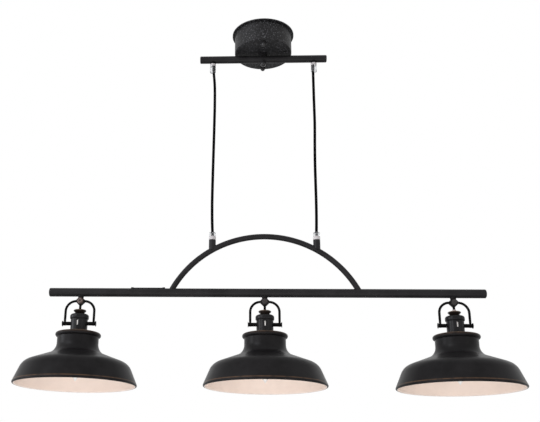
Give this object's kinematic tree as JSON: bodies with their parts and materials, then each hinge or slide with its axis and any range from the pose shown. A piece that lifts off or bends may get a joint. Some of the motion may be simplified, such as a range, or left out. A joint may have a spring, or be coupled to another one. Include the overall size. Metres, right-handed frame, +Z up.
{
  "type": "linear pendant light",
  "caption": "Linear pendant light: round canopy, upper bar, hanging cords, arched lower bar and tilting domed metal shades on wire bails, with bulbs.",
  "frame": {"origin": "on the ceiling at the centre of the canopy", "axes": "+Z up, +X along both bars to the right, -Y the front, which faces the camera in the picture"},
  "size_m": [1.034, 0.254, 0.8206],
  "materials": {
    "canopy_paint": "black powder coat with fine pale speckles",
    "frame_paint": "satin charcoal black",
    "shade_paint": "satin charcoal black, rubbed bronze at the edges, warm white inside",
    "cover_paint": "gloss black",
    "cup_paint": "dark bronze",
    "screw": "dark bronze",
    "collar": "matt black",
    "clear_grip": "clear, slightly frosted",
    "cord": "black sheathed cord",
    "bushing": "pale, matt",
    "holder": "off-white, matt",
    "steel": "zinc plated",
    "zinc": "zinc plated",
    "bulb_glass": "clear",
    "bulb_base": "plain"
  },
  "bodies": {
    "canopy": {"mounting_plate": "steel", "canopy_shell": "canopy_paint", "canopy_studs": "steel", "canopy_cap_nuts": "canopy_paint", "terminal_block": "holder"},
    "swivel_bar": {"centre_nipple": "steel", "nipple_locknut": "steel", "bar_spacer": "frame_paint", "bar_cap_nut": "frame_paint", "upper_bar": "frame_paint", "upper_end_plugs": "frame_paint", "upper_collars": "collar", "upper_grips": "clear_grip", "cord_tails": "cord"},
    "frame": {"cord_left": "cord", "cord_right": "cord", "lower_grips": "clear_grip", "cord_bosses": "frame_paint", "arch_tube": "frame_paint", "lower_bar": "frame_paint", "lower_end_plugs": "frame_paint", "wiring_cover": "frame_paint", "hub_set_screws": "screw", "pin_caps": "frame_paint", "hub_left": "frame_paint", "bail_left": "frame_paint", "pivot_pins_left": "frame_paint", "hub_middle": "frame_paint", "bail_middle": "frame_paint", "pivot_pins_middle": "frame_paint", "hub_right": "frame_paint", "bail_right": "frame_paint", "pivot_pins_right": "frame_paint"},
    "head_left": {"lead_left": "cord", "bushing_left": "bushing", "cup_left": "cup_paint", "socket_cover_left": "cover_paint", "lampholder_left": "holder", "shade_left": "shade_paint", "ring_nut_left": "zinc", "bulb_glass_left": "bulb_glass", "bulb_base_left": "bulb_base"},
    "head_middle": {"lead_middle": "cord", "bushing_middle": "bushing", "cup_middle": "cup_paint", "socket_cover_middle": "cover_paint", "lampholder_middle": "holder", "shade_middle": "shade_paint", "ring_nut_middle": "zinc", "bulb_glass_middle": "bulb_glass", "bulb_base_middle": "bulb_base"},
    "head_right": {"lead_right": "cord", "bushing_right": "bushing", "cup_right": "cup_paint", "socket_cover_right": "cover_paint", "lampholder_right": "holder", "shade_right": "shade_paint", "ring_nut_right": "zinc", "bulb_glass_right": "bulb_glass", "bulb_base_right": "bulb_base"}
  },
  "joints": [
    {"name": "bar_swivel", "type": "hinge", "parent": "canopy", "child": "swivel_bar", "pos_m": [0, 0, -0.051], "axis": [0, 0, 1], "range_deg": [-70, 70]},
    {"name": "frame_swing", "type": "hinge", "parent": "swivel_bar", "child": "frame", "pos_m": [0, 0, -0.097], "axis": [1, 0, 0], "range_deg": [-20, 20]},
    {"name": "tilt_left", "type": "hinge", "parent": "frame", "child": "head_left", "pos_m": [-0.39, 0, -0.6916], "axis": [1, 0, 0], "range_deg": [-30, 30]},
    {"name": "tilt_middle", "type": "hinge", "parent": "frame", "child": "head_middle", "pos_m": [0, 0, -0.6916], "axis": [1, 0, 0], "range_deg": [-30, 30]},
    {"name": "tilt_right", "type": "hinge", "parent": "frame", "child": "head_right", "pos_m": [0.39, 0, -0.6916], "axis": [1, 0, 0], "range_deg": [-30, 30]}
  ]
}
